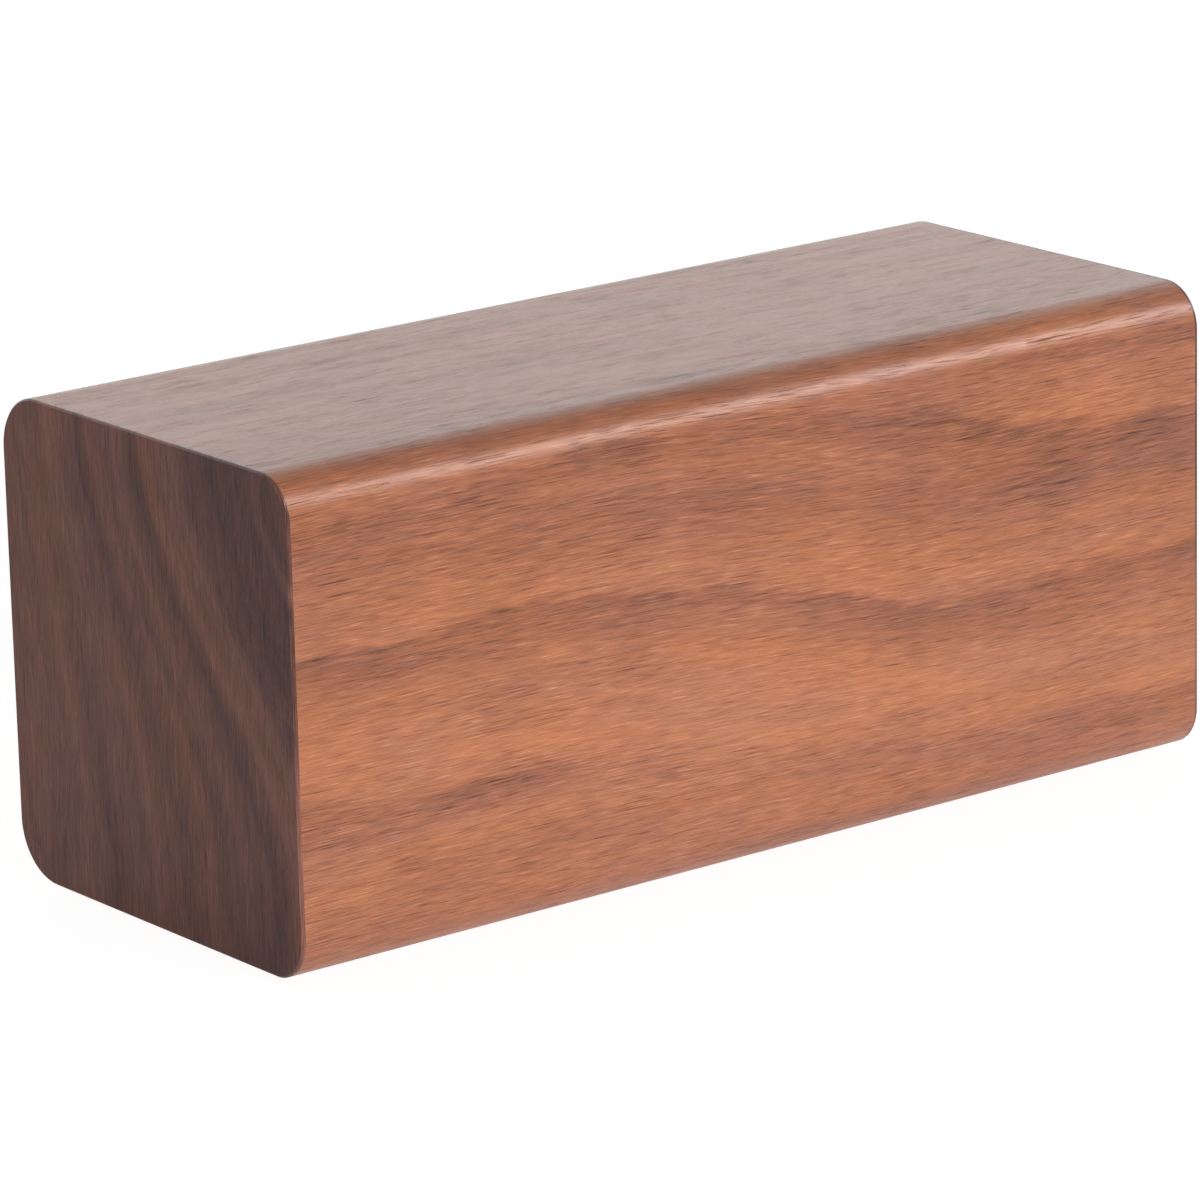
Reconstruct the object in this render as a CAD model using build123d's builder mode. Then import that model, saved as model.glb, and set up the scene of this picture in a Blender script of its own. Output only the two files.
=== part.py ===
"""Wooden block desk clock.

A case of six fibreboard panels, veneered all round, holds a four-digit display that shines through the front
veneer, a control panel in the back and a battery bay underneath. The block stands on four rubber feet. Its
front faces -Y, and the origin is on the desk under its centre. Lengths are in millimetres.
"""

import os
from math import cos, pi, radians, sin, tan

from build123d import *

# Case
block_length = 162.0
block_depth = 68.0
block_height = 70.0
front_edge_radius = 6.4
back_edge_radius = 8.2
veneer = 0.6
board = 8.0
end_board = 8.0
edge_break = 0.25
corner_limit_share = 0.95  # the rounding takes at most this much of the front and back boards
foot_height = 1.2
foot_diameter = 10.0
foot_inset = 14.0
foot_chamfer = 0.3

# Clearances that all pieces share
overrun = 1.0  # a cut runs this far past the faces that it opens
slip = 0.15  # round a piece that drops into a pocket
screw_slip = 0.05  # round a screw in its hole
running = 0.06  # round a pin or a plunger that moves
rest_gap = 0.1  # between a moving piece and the face that stops it

# Display
window_length = 104.0
window_height = 36.0
window_radius = 3.0
diffuser_thickness = 2.0
baffle_flange = 2.0
flange_share = 0.46  # of the room between window and case, the part that the baffle's flange laps
circuit_board = 1.6
digit_height = 27.0
digit_width = 15.0
digit_pitch = 21.0
colon_space = 6.0
colon_diameter = 4.0
bar_width = 4.0
bar_gap = 0.8
bar_taper_degrees = 5.0
led_length = 2.0
led_width = 1.25
led_height = 0.8
led_spread_share = 0.2  # of a bar's length, from its middle to each of its two lamps
display_screw = 2.5
display_screw_length = 9.0
display_screw_head = 4.6
display_screw_head_height = 1.6

# Control panel, in the back
panel_length = 96.0
panel_height = 26.0
panel_thickness = 2.0
panel_radius = 4.0
panel_recess = 1.6
shoulder_side = 7.0
shoulder_rise = 3.0
panel_screw = 2.5
panel_screw_length = 6.0
panel_screw_head = 4.6
standoff = 8.0
boss_diameter = 4.4
boss_inset = 4.0
boss_lift = 6.0
control_play = 1.0  # between the control board and the opening that it goes in through
control_screw = 2.0
control_screw_length = 5.6
control_screw_head = 3.6
control_screw_head_height = 1.3
cross_width = 0.7
cross_share = 0.6  # of a screw head, the length and the depth of its cross recess

# Push buttons and their switches
button_names = ("set", "up", "down")
button_first = -27.0
button_pitch = 13.0
button_diameter = 7.0
button_gap = 0.2
button_rise = 1.2
button_chamfer = 0.4
button_flange = 9.0
button_flange_thickness = 1.0
button_stem = 3.4
button_travel = 0.5
switch_side = 6.0
switch_height = 3.5
plunger_diameter = 3.2
plunger_rise = 1.0
plunger_sunk = 1.2
plunger_spare = 0.3

# Other parts of the control board
usb_place = 12.0
usb_width = 8.94
usb_height = 3.26
usb_wall = 0.3
usb_gap = 0.25
usb_sunk = 0.3
usb_base = 2.5
usb_tongue_width = 6.7
usb_tongue_thickness = 0.7
usb_tongue_sunk = 1.0
buzzer_place = 26.0
buzzer_diameter = 11.0
buzzer_height = 6.5
buzzer_chamfer = 0.5
buzzer_hole = 2.0
buzzer_hole_depth = 1.5
sound_hole = 1.4
sound_ring = 3.0
sound_holes = 6
sensor_lift = 5.6
sensor_diameter = 4.0
sensor_height = 5.0
sensor_chamfer = 0.3
sensor_hole = 1.6
chip_length = 10.2
chip_width = 4.0
chip_height = 1.5
chip_leg = 0.4
chip_leg_pitch = 1.27
chip_leg_reach = 1.0
chip_leg_height = 0.25
chip_legs = 8
clock_chip_place = -22.0
driver_chip_place = 24.0
crystal_place = -10.0
crystal_length = 10.0
crystal_width = 3.8
crystal_height = 3.5
capacitor_place = 18.0
capacitor_diameter = 6.3
capacitor_height = 7.0
capacitor_chamfer = 0.4
ribbon_place = 3.0
ribbon_width = 10.0
ribbon_thickness = 0.7
ribbon_socket_wall = 1.6
ribbon_socket_height = 5.0
ribbon_grip = 2.0  # how deep the ribbon sits in each socket
battery_socket_place = 28.0
battery_socket_length = 6.0
battery_socket_width = 5.0
battery_socket_height = 5.0
route_shares = ((0, 0), (0.2, 0), (0.5, -0.35), (0.8, 0), (1, 0))  # the ribbon's route, along and up, of its span
bend_share = 0.45  # of the shorter run beside a bend, the part that the bend takes

# Battery bay, in the bottom
cell_count = 3
cell_diameter = 10.5
cell_length = 43.7
cell_chamfer = 0.5
nub_diameter = 3.8
nub_length = 0.8
cell_slip = 0.2
cell_lift = 0.8
divider = 0.8
tub_wall = 1.5
contact_side = 7.0
contact_thickness = 0.4
spring_length = 5.0
spring_wire = 0.6
spring_big = 3.0
spring_small = 2.2
spring_turns = 3
wire_sides = 6  # wires and leads are drawn with this many flats
bay_sunk = 0.2
bay_flange = 3.6
bay_rim_share = 0.35  # of the room between the door and the boards, the part that the box's rim takes
bay_rim_side = 9.0
bay_radius = 3.0
bay_screw = 2.5
bay_screw_length = 7.2
bay_screw_head = 4.6
bay_screw_inset = 6.0
door_thickness = 2.0
door_lap = 1.6
door_gap = 0.3
door_pin = 1.2
door_pin_reach = 1.2
door_rib_width = 1.2
door_rib_height = 0.5
latch_width = 12.0
latch_length = 7.0
latch_slit = 0.8
latch_nose = 0.2
latch_nose_height = 0.8
grip_grooves = 3
grip_pitch = 1.6
grip_width = 0.7
grip_depth = 0.4
lead_diameter = 1.3
lead_spacing = 2.5
lead_start = 6.0  # from the bay's middle towards the back
lead_shift = 8.0
lead_climb = 8.0
lead_approach = 6.0

# Case levels and sections
base = foot_height
middle = base + block_height / 2
core_length = block_length - 2 * veneer
core_depth = block_depth - 2 * veneer
core_height = block_height - 2 * veneer
front_corner = min(front_edge_radius, corner_limit_share * board + veneer)
back_corner = min(back_edge_radius, corner_limit_share * board + veneer)
inner_length = core_length - 2 * end_board
inner_depth = core_depth - 2 * board
inner_height = core_height - 2 * board
front = Plane(origin=(0, -block_depth / 2, middle), x_dir=(1, 0, 0), z_dir=(0, -1, 0))
rear = Plane(origin=(0, block_depth / 2, middle), x_dir=(-1, 0, 0), z_dir=(0, 1, 0))

# Display levels, from the front face inwards
diffuser_back = veneer + diffuser_thickness
board_back = veneer + board
baffle_back = board_back + baffle_flange
display_back = baffle_back + circuit_board
flange_side = flange_share * (inner_length - window_length) / 2
flange_rise = flange_share * (inner_height - window_height) / 2
flange_length = window_length + 2 * flange_side
flange_height = window_height + 2 * flange_rise
display_screw_places = [
    (side * (flange_length - flange_side) / 2, lift * (window_height - window_radius) / 2)
    for side in (-1, 1)
    for lift in (-1, 1)
]

# Control levels, from the back face inwards
panel_back = panel_recess + panel_thickness
control_front = panel_back + standoff
control_back = control_front + circuit_board
panel_pocket = (panel_length + 2 * slip, panel_height + 2 * slip, panel_radius + slip)
opening_length = panel_length - 2 * shoulder_side
opening_height = panel_height - 2 * shoulder_rise
opening_radius = max(panel_radius - shoulder_rise, slip)
control_length = opening_length - 2 * control_play
control_height = opening_height - 2 * control_play
panel_screw_places = [(side * (panel_length - shoulder_side) / 2, 0) for side in (-1, 1)]
boss_places = [
    (side * (control_length / 2 - boss_inset), lift * boss_lift) for side in (-1, 1) for lift in (-1, 1)
]
button_places = [(button_first + step * button_pitch, 0) for step in range(len(button_names))]

# Battery bay levels, from the bottom face upwards, and plan sizes
door_low = base + bay_sunk
door_axis = door_low + door_thickness / 2
door_high = door_low + door_thickness
door_seat = door_high + rest_gap
bay_top = door_low + bay_flange
cell_axis = door_seat + cell_lift + cell_diameter / 2
ceiling = cell_axis + cell_diameter / 2 + cell_slip
tub_top = ceiling + tub_wall
cell_pitch = cell_diameter + divider + 2 * cell_slip
cavity_length = cell_length + nub_length + spring_length + 2 * contact_thickness
cavity_width = cell_count * cell_pitch - divider
tub_length = cavity_length + 2 * tub_wall
tub_width = cavity_width + 2 * tub_wall
door_length = cavity_length + 2 * door_lap
door_width = cavity_width + 2 * door_lap
pocket_length = door_length + 2 * door_gap
pocket_width = door_width + 2 * door_gap
bay_length = pocket_length + 2 * bay_rim_side
bay_width = pocket_width + bay_rim_share * (inner_depth - pocket_width)
hinge_place = -(door_width - door_thickness) / 2
bay_screw_places = [
    (side * (bay_length - bay_rim_side) / 2, lift * (bay_width / 2 - bay_screw_inset))
    for side in (-1, 1)
    for lift in (-1, 1)
]
cell_rows = [(row - (cell_count - 1) / 2) * cell_pitch for row in range(cell_count)]
cell_ways = [1 if row % 2 == 0 else -1 for row in range(cell_count)]


# Case

# The front and back boards stand full height. Their outer long edges carry the block's rounding, tighter in front.
with BuildPart() as front_board:
    with BuildSketch(Plane.YZ.offset(-core_length / 2)) as outline:
        with Locations((-(core_depth - board) / 2, middle)):
            Rectangle(board, core_height)
        fillet(outline.vertices().group_by(Axis.X)[0], front_corner - veneer)
    extrude(amount=core_length)
    with BuildSketch(front.offset(overrun)):
        RectangleRounded(window_length, window_height, window_radius)
    extrude(amount=-(board_back + 2 * overrun), mode=Mode.SUBTRACT)
    with BuildSketch(front.offset(-board_back)):
        with Locations(*display_screw_places):
            Circle(display_screw / 2 + screw_slip)
    extrude(amount=display_screw_length - baffle_flange - circuit_board + screw_slip, mode=Mode.SUBTRACT)

with BuildPart() as back_board:
    with BuildSketch(Plane.YZ.offset(-core_length / 2)) as outline:
        with Locations(((core_depth - board) / 2, middle)):
            Rectangle(board, core_height)
        fillet(outline.vertices().group_by(Axis.X)[-1], back_corner - veneer)
    extrude(amount=core_length)
    with BuildSketch(rear):
        RectangleRounded(*panel_pocket)
    extrude(amount=-panel_back, mode=Mode.SUBTRACT)
    with BuildSketch(rear):
        RectangleRounded(opening_length, opening_height, opening_radius)
    extrude(amount=-(board_back + overrun), mode=Mode.SUBTRACT)
    with BuildSketch(rear.offset(-panel_recess)):
        with Locations(*panel_screw_places):
            Circle(panel_screw / 2 + screw_slip)
    extrude(amount=-(panel_screw_length + screw_slip), mode=Mode.SUBTRACT)

# The top and bottom boards lie between them.
with BuildPart() as top_board:
    with BuildSketch(Plane.XY.offset(base + block_height - veneer)):
        Rectangle(core_length, inner_depth)
    extrude(amount=-board)

with BuildPart() as bottom_board:
    with BuildSketch(Plane.XY.offset(base + veneer)):
        Rectangle(core_length, inner_depth)
    extrude(amount=board)
    with BuildSketch(Plane.XY.offset(base)):
        RectangleRounded(bay_length + 2 * slip, bay_width + 2 * slip, bay_radius + slip)
    extrude(amount=bay_sunk + bay_flange, mode=Mode.SUBTRACT)
    with BuildSketch(Plane.XY.offset(base)):
        Rectangle(tub_length + 2 * slip, tub_width + 2 * slip)
    extrude(amount=board_back + overrun, mode=Mode.SUBTRACT)
    with BuildSketch(Plane.XY.offset(door_low)):
        with Locations(*bay_screw_places):
            Circle(bay_screw / 2 + screw_slip)
    extrude(amount=bay_screw_length + screw_slip, mode=Mode.SUBTRACT)


def end_panel(side):
    """A plug of board that closes the end on that side, flush with the other four boards."""
    with BuildPart() as panel:
        with BuildSketch(Plane.YZ.offset(side * core_length / 2)):
            with Locations((0, middle)):
                Rectangle(inner_depth, inner_height)
        extrude(amount=-side * end_board)
    return panel


def end_veneer(side):
    """The veneer sheet over the end on that side, its outer edge broken with abrasive paper."""
    with BuildPart() as sheet:
        with BuildSketch(Plane.YZ.offset(side * core_length / 2)) as outline:
            with Locations((0, middle)):
                Rectangle(block_depth, block_height)
            fillet(outline.vertices().group_by(Axis.X)[0], front_corner)
            fillet(outline.vertices().group_by(Axis.X)[-1], back_corner)
        extrude(amount=side * veneer)
        chamfer(sheet.faces().sort_by(Axis.X)[-1 if side > 0 else 0].edges(), edge_break)
    return sheet


left_end_panel = end_panel(-1)
right_end_panel = end_panel(1)
left_end_veneer = end_veneer(-1)
right_end_veneer = end_veneer(1)

# The long veneer goes round all four sides, unbroken over the display and open over the panel and the bay.
with BuildPart() as veneer_wrap:
    for inset, mode in ((0, Mode.ADD), (veneer, Mode.SUBTRACT)):
        with BuildSketch(Plane.YZ.offset(-core_length / 2)) as outline:
            with Locations((0, middle)):
                Rectangle(block_depth - 2 * inset, block_height - 2 * inset)
            fillet(outline.vertices().group_by(Axis.X)[0], front_corner - inset)
            fillet(outline.vertices().group_by(Axis.X)[-1], back_corner - inset)
        extrude(amount=core_length, mode=mode)
    with BuildSketch(rear.offset(overrun)):
        RectangleRounded(*panel_pocket)
    extrude(amount=-(veneer + 2 * overrun), mode=Mode.SUBTRACT)
    with BuildSketch(Plane.XY.offset(base - overrun)):
        RectangleRounded(bay_length + 2 * slip, bay_width + 2 * slip, bay_radius + slip)
    extrude(amount=veneer + 2 * overrun, mode=Mode.SUBTRACT)

with BuildPart() as rubber_feet:
    with BuildSketch():
        with GridLocations(block_length - 2 * foot_inset, block_depth - 2 * foot_inset, 2, 2):
            Circle(foot_diameter / 2)
    extrude(amount=foot_height)
    chamfer(rubber_feet.edges().group_by(Axis.Z)[0], foot_chamfer)


# Screws


def pan_head_screws(seat, places, shank, length, head, head_height):
    """Screws driven in at these places of the plane they are seated on, whose normal points back at the driver."""
    with BuildPart() as screws:
        with BuildSketch(seat):
            with Locations(*places):
                Circle(shank / 2)
        extrude(amount=-length)
        with BuildSketch(seat):
            with Locations(*places):
                Circle(head / 2)
        extrude(amount=head_height)
        with BuildSketch(seat.offset(head_height)):
            with Locations(*places):
                Rectangle(cross_share * head, cross_width)
                Rectangle(cross_width, cross_share * head)
        extrude(amount=-cross_share * head_height, mode=Mode.SUBTRACT)
    return screws


def countersunk_screws(seat, places, shank, length, head):
    """Screws whose heads lie flush with the plane they are seated on, whose normal points back at the driver."""
    sink = (head - shank) / 2
    with BuildPart() as screws:
        with BuildSketch(seat):
            with Locations(*places):
                Circle(shank / 2)
        extrude(amount=-length)
        with Locations(seat):
            with Locations(*places):
                Cone(shank / 2, head / 2, sink, align=(Align.CENTER, Align.CENTER, Align.MAX))
        with BuildSketch(seat):
            with Locations(*places):
                Rectangle(cross_share * head, cross_width)
                Rectangle(cross_width, cross_share * head)
        extrude(amount=-sink, mode=Mode.SUBTRACT)
    return screws


# Display

with BuildPart() as display_diffuser:
    with BuildSketch(front.offset(-veneer)):
        RectangleRounded(window_length - 2 * slip, window_height - 2 * slip, window_radius - slip)
    extrude(amount=-diffuser_thickness)

# Each digit is seven bars: three across and two up each side.
half_span = (digit_width - bar_width) / 2
half_rise = (digit_height - bar_width) / 2
bars_across = [(0, level * half_rise, 0, 2 * half_span - bar_gap) for level in (-1, 0, 1)]
bars_upright = [
    (side * half_span, level * half_rise / 2, 90, half_rise - bar_gap) for side in (-1, 1) for level in (-1, 1)
]
digit_places = [
    side * (colon_space / 2 + digit_pitch * step + digit_pitch / 2) for side in (-1, 1) for step in (0, 1)
]
bars = [
    (place + x, z, turn, length) for place in digit_places for x, z, turn, length in bars_across + bars_upright
]
colon_places = [(0, level * half_rise / 2) for level in (-1, 1)]


def bar_outline(length):
    """Corners of one display bar: a strip with pointed ends."""
    tip, flat = length / 2, (length - bar_width) / 2
    rim = bar_width / 2
    return [(-tip, 0), (-flat, rim), (flat, rim), (tip, 0), (flat, -rim), (-flat, -rim)]


# The baffle keeps the lamps' light apart: each bar is a tapered well from its lamps to the diffuser.
with BuildPart() as light_baffle:
    with BuildSketch(front.offset(-diffuser_back)):
        RectangleRounded(window_length - 2 * slip, window_height - 2 * slip, window_radius - slip)
    extrude(amount=-(board - diffuser_thickness))
    with BuildSketch(front.offset(-board_back)):
        RectangleRounded(flange_length, flange_height, window_radius)
        with Locations(*display_screw_places):
            Circle(display_screw / 2 + slip, mode=Mode.SUBTRACT)
    extrude(amount=-baffle_flange)
    with BuildSketch(front.offset(-diffuser_back)):
        for x, z, turn, length in bars:
            with Locations((x, z)):
                Polygon(*bar_outline(length), rotation=turn)
        with Locations(*colon_places):
            Circle(colon_diameter / 2)
    extrude(amount=-(baffle_back - diffuser_back + overrun), taper=bar_taper_degrees, mode=Mode.SUBTRACT)

with BuildPart() as display_board:
    with BuildSketch(front.offset(-baffle_back)):
        RectangleRounded(flange_length, flange_height, window_radius)
        with Locations(*display_screw_places):
            Circle(display_screw / 2 + slip, mode=Mode.SUBTRACT)
    extrude(amount=-circuit_board)

# Two lamps to a bar, one to a dot.
with BuildPart() as segment_leds:
    with BuildSketch(front.offset(-baffle_back)):
        for x, z, turn, length in bars:
            step = led_spread_share * length
            along = (step * cos(radians(turn)), step * sin(radians(turn)))
            with Locations((x - along[0], z - along[1]), (x + along[0], z + along[1])):
                Rectangle(led_length, led_width, rotation=turn)
        with Locations(*colon_places):
            Rectangle(led_length, led_width)
    extrude(amount=led_height)

display_inside = Plane(
    origin=(0, -block_depth / 2 + display_back, middle), x_dir=(-1, 0, 0), z_dir=(0, 1, 0)
)
display_screws = pan_head_screws(
    display_inside,
    display_screw_places,
    display_screw,
    display_screw_length,
    display_screw_head,
    display_screw_head_height,
)


def chip(face, place):
    """A flat driver chip with legs along both sides, at that place along the face of a circuit board."""
    with BuildPart() as package:
        with BuildSketch(face):
            with Locations((place, 0)):
                Rectangle(chip_length, chip_width)
        extrude(amount=chip_height)
        with BuildSketch(face):
            with Locations((place, 0)):
                with GridLocations(chip_leg_pitch, 0, chip_legs, 1):
                    Rectangle(chip_leg, chip_width + 2 * chip_leg_reach)
        extrude(amount=chip_leg_height)
    return package


display_driver_chip = chip(display_inside, driver_chip_place)

# Controls

with BuildPart() as control_panel:
    with BuildSketch(rear.offset(-panel_recess)):
        RectangleRounded(panel_length, panel_height, panel_radius)
    extrude(amount=-panel_thickness)
    with BuildSketch(rear.offset(-panel_back)):
        with Locations(*boss_places):
            Circle(boss_diameter / 2)
    extrude(amount=-standoff)
    with BuildSketch(rear.offset(-control_front)):
        with Locations(*boss_places):
            Circle(control_screw / 2 + screw_slip)
    extrude(amount=control_screw_length - circuit_board + screw_slip, mode=Mode.SUBTRACT)
    with BuildSketch(rear.offset(-panel_recess)):
        with Locations(*button_places):
            Circle(button_diameter / 2 + button_gap)
        with Locations((usb_place, 0)):
            SlotOverall(usb_width + 2 * usb_gap, usb_height + 2 * usb_gap)
        with Locations((usb_place, sensor_lift)):
            Circle(sensor_hole / 2)
        with Locations((buzzer_place, 0)):
            Circle(sound_hole / 2)
            with PolarLocations(sound_ring, sound_holes):
                Circle(sound_hole / 2)
    extrude(amount=-panel_thickness, mode=Mode.SUBTRACT)
    with Locations(rear.offset(-panel_recess)):
        with Locations(*panel_screw_places):
            CounterSinkHole(
                panel_screw / 2 + screw_slip,
                panel_screw_head / 2 + screw_slip,
                panel_thickness + overrun,
                counter_sink_angle=90,
            )

control_panel_screws = countersunk_screws(
    rear.offset(-panel_recess), panel_screw_places, panel_screw, panel_screw_length, panel_screw_head
)

with BuildPart() as control_board:
    with BuildSketch(rear.offset(-control_front)):
        Rectangle(control_length, control_height)
        with Locations(*boss_places):
            Circle(control_screw / 2 + slip, mode=Mode.SUBTRACT)
    extrude(amount=-circuit_board)

control_inside = Plane(
    origin=(0, block_depth / 2 - control_back, middle), x_dir=(1, 0, 0), z_dir=(0, -1, 0)
)
control_board_screws = pan_head_screws(
    control_inside,
    boss_places,
    control_screw,
    control_screw_length,
    control_screw_head,
    control_screw_head_height,
)


def push_button(place):
    """A button cap with the flange that holds it behind the panel and the stem that works its switch."""
    flange_back = panel_back + rest_gap + button_flange_thickness
    with BuildPart() as button:
        with BuildSketch(rear.offset(-(panel_back + rest_gap))):
            with Locations(place):
                Circle(button_diameter / 2)
        extrude(amount=rest_gap + panel_thickness + button_rise)
        chamfer(button.edges().group_by(Axis.Y)[-1], button_chamfer)
        with BuildSketch(rear.offset(-(panel_back + rest_gap))):
            with Locations(place):
                Circle(button_flange / 2)
        extrude(amount=-button_flange_thickness)
        with BuildSketch(rear.offset(-flange_back)):
            with Locations(place):
                Circle(button_stem / 2)
        extrude(amount=-(control_front - switch_height - plunger_rise - flange_back))
    return button


def switch_plunger(place):
    """The plunger of the switch under a button, touching the button's stem."""
    with BuildPart() as plunger:
        with BuildSketch(rear.offset(-(control_front - switch_height - plunger_rise))):
            with Locations(place):
                Circle(plunger_diameter / 2)
        extrude(amount=-(plunger_rise + plunger_sunk))
    return plunger


buttons = {name: push_button(place) for name, place in zip(button_names, button_places)}
plungers = {name: switch_plunger(place) for name, place in zip(button_names, button_places)}

with BuildPart() as switch_housings:
    with BuildSketch(rear.offset(-control_front)):
        with Locations(*button_places):
            Rectangle(switch_side, switch_side)
    extrude(amount=switch_height)
    with BuildSketch(rear.offset(-(control_front - switch_height))):
        with Locations(*button_places):
            Circle(plunger_diameter / 2 + running)
    extrude(amount=-(plunger_sunk + button_travel + plunger_spare), mode=Mode.SUBTRACT)

usb_length = control_front - panel_recess - usb_sunk
with BuildPart() as usb_socket_shell:
    with BuildSketch(rear.offset(-control_front)):
        with Locations((usb_place, 0)):
            SlotOverall(usb_width, usb_height)
            SlotOverall(usb_width - 2 * usb_wall, usb_height - 2 * usb_wall, mode=Mode.SUBTRACT)
    extrude(amount=usb_length)

with BuildPart() as usb_socket_tongue:
    with BuildSketch(rear.offset(-control_front)):
        with Locations((usb_place, 0)):
            SlotOverall(
                usb_width - 2 * usb_wall - 2 * screw_slip, usb_height - 2 * usb_wall - 2 * screw_slip
            )
    extrude(amount=usb_base)
    with BuildSketch(rear.offset(-control_front)):
        with Locations((usb_place, 0)):
            Rectangle(usb_tongue_width, usb_tongue_thickness)
    extrude(amount=usb_length - usb_tongue_sunk)

with BuildPart() as alarm_buzzer:
    with BuildSketch(rear.offset(-control_front)):
        with Locations((buzzer_place, 0)):
            Circle(buzzer_diameter / 2)
    extrude(amount=buzzer_height)
    chamfer(alarm_buzzer.edges().group_by(Axis.Y)[-1], buzzer_chamfer)
    with BuildSketch(rear.offset(-(control_front - buzzer_height))):
        with Locations((buzzer_place, 0)):
            Circle(buzzer_hole / 2)
    extrude(amount=-buzzer_hole_depth, mode=Mode.SUBTRACT)

with BuildPart() as sound_sensor:
    with BuildSketch(rear.offset(-control_front)):
        with Locations((usb_place, sensor_lift)):
            Circle(sensor_diameter / 2)
    extrude(amount=sensor_height)
    chamfer(sound_sensor.edges().group_by(Axis.Y)[-1], sensor_chamfer)

clock_chip = chip(control_inside, clock_chip_place)

with BuildPart() as timing_crystal:
    with BuildSketch(control_inside):
        with Locations((crystal_place, 0)):
            SlotOverall(crystal_length, crystal_width, rotation=90)
    extrude(amount=crystal_height)

with BuildPart() as supply_capacitor:
    with BuildSketch(control_inside):
        with Locations((capacitor_place, 0)):
            Circle(capacitor_diameter / 2)
    extrude(amount=capacitor_height)
    chamfer(supply_capacitor.edges().group_by(Axis.Y)[0], capacitor_chamfer)

# A ribbon joins the two circuit boards, plugged into a socket on each.
with BuildPart() as ribbon_sockets:
    for face, place in ((control_inside, ribbon_place), (display_inside, -ribbon_place)):
        with BuildSketch(face):
            with Locations((place, 0)):
                Rectangle(ribbon_width + 2 * ribbon_socket_wall, ribbon_thickness + 2 * ribbon_socket_wall)
        extrude(amount=ribbon_socket_height)
        with BuildSketch(face.offset(ribbon_socket_height)):
            with Locations((place, 0)):
                Rectangle(ribbon_width + 2 * screw_slip, ribbon_thickness + 2 * screw_slip)
        extrude(amount=-ribbon_grip, mode=Mode.SUBTRACT)


def bend_radii(points):
    """The radius at each corner of a route, as large as the two runs beside it allow."""
    radii = []
    for before, corner_point, after in zip(points, points[1:], points[2:]):
        run_in, run_out = corner_point - before, after - corner_point
        turn = run_in.get_angle(run_out)
        radii.append(bend_share * min(run_in.length, run_out.length) / tan(radians(turn / 2)))
    return radii


ribbon_from = -block_depth / 2 + display_back + ribbon_socket_height - ribbon_grip
ribbon_span = block_depth - display_back - control_back - 2 * (ribbon_socket_height - ribbon_grip)
ribbon_route = [
    Vector(ribbon_place, ribbon_from + along * ribbon_span, middle + up * ribbon_span)
    for along, up in route_shares
]
with BuildPart() as ribbon_cable:
    with BuildLine():
        FilletPolyline(*ribbon_route, radius=bend_radii(ribbon_route))
    with BuildSketch(Plane(origin=ribbon_route[0], x_dir=(1, 0, 0), z_dir=(0, 1, 0))):
        Rectangle(ribbon_width, ribbon_thickness)
    sweep()

with BuildPart() as battery_socket:
    with BuildSketch(control_inside):
        with Locations((battery_socket_place, 0)):
            Rectangle(battery_socket_length, battery_socket_width)
    extrude(amount=battery_socket_height)

# Battery bay

with BuildPart() as battery_box:
    with BuildSketch(Plane.XY.offset(door_low)):
        RectangleRounded(bay_length, bay_width, bay_radius)
    extrude(amount=bay_flange)
    with BuildSketch(Plane.XY.offset(door_low)):
        Rectangle(tub_length, tub_width)
    extrude(amount=tub_top - door_low)
    with BuildSketch(Plane.XY.offset(door_low)):
        Rectangle(pocket_length, pocket_width)
    extrude(amount=door_seat - door_low, mode=Mode.SUBTRACT)
    with BuildSketch(Plane.XY.offset(door_low)):
        Rectangle(cavity_length, cavity_width)
    extrude(amount=ceiling - door_low, mode=Mode.SUBTRACT)
    with BuildSketch(Plane.XY.offset(cell_axis)):
        with GridLocations(0, cell_pitch, 1, cell_count - 1):
            Rectangle(cavity_length, divider)
    extrude(amount=ceiling - cell_axis)
    with BuildSketch(Plane.YZ.offset(-(pocket_length / 2 + door_pin_reach))):
        with Locations((hinge_place, door_axis)):
            Circle(door_pin / 2 + running)
    extrude(amount=pocket_length + 2 * door_pin_reach, mode=Mode.SUBTRACT)
    with Locations(Plane(origin=(0, 0, door_low), x_dir=(1, 0, 0), z_dir=(0, 0, -1))):
        with Locations(*bay_screw_places):
            CounterSinkHole(
                bay_screw / 2 + screw_slip,
                bay_screw_head / 2 + screw_slip,
                bay_flange + overrun,
                counter_sink_angle=90,
            )

battery_box_screws = countersunk_screws(
    Plane(origin=(0, 0, door_low), x_dir=(1, 0, 0), z_dir=(0, 0, -1)),
    bay_screw_places,
    bay_screw,
    bay_screw_length,
    bay_screw_head,
)

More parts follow.
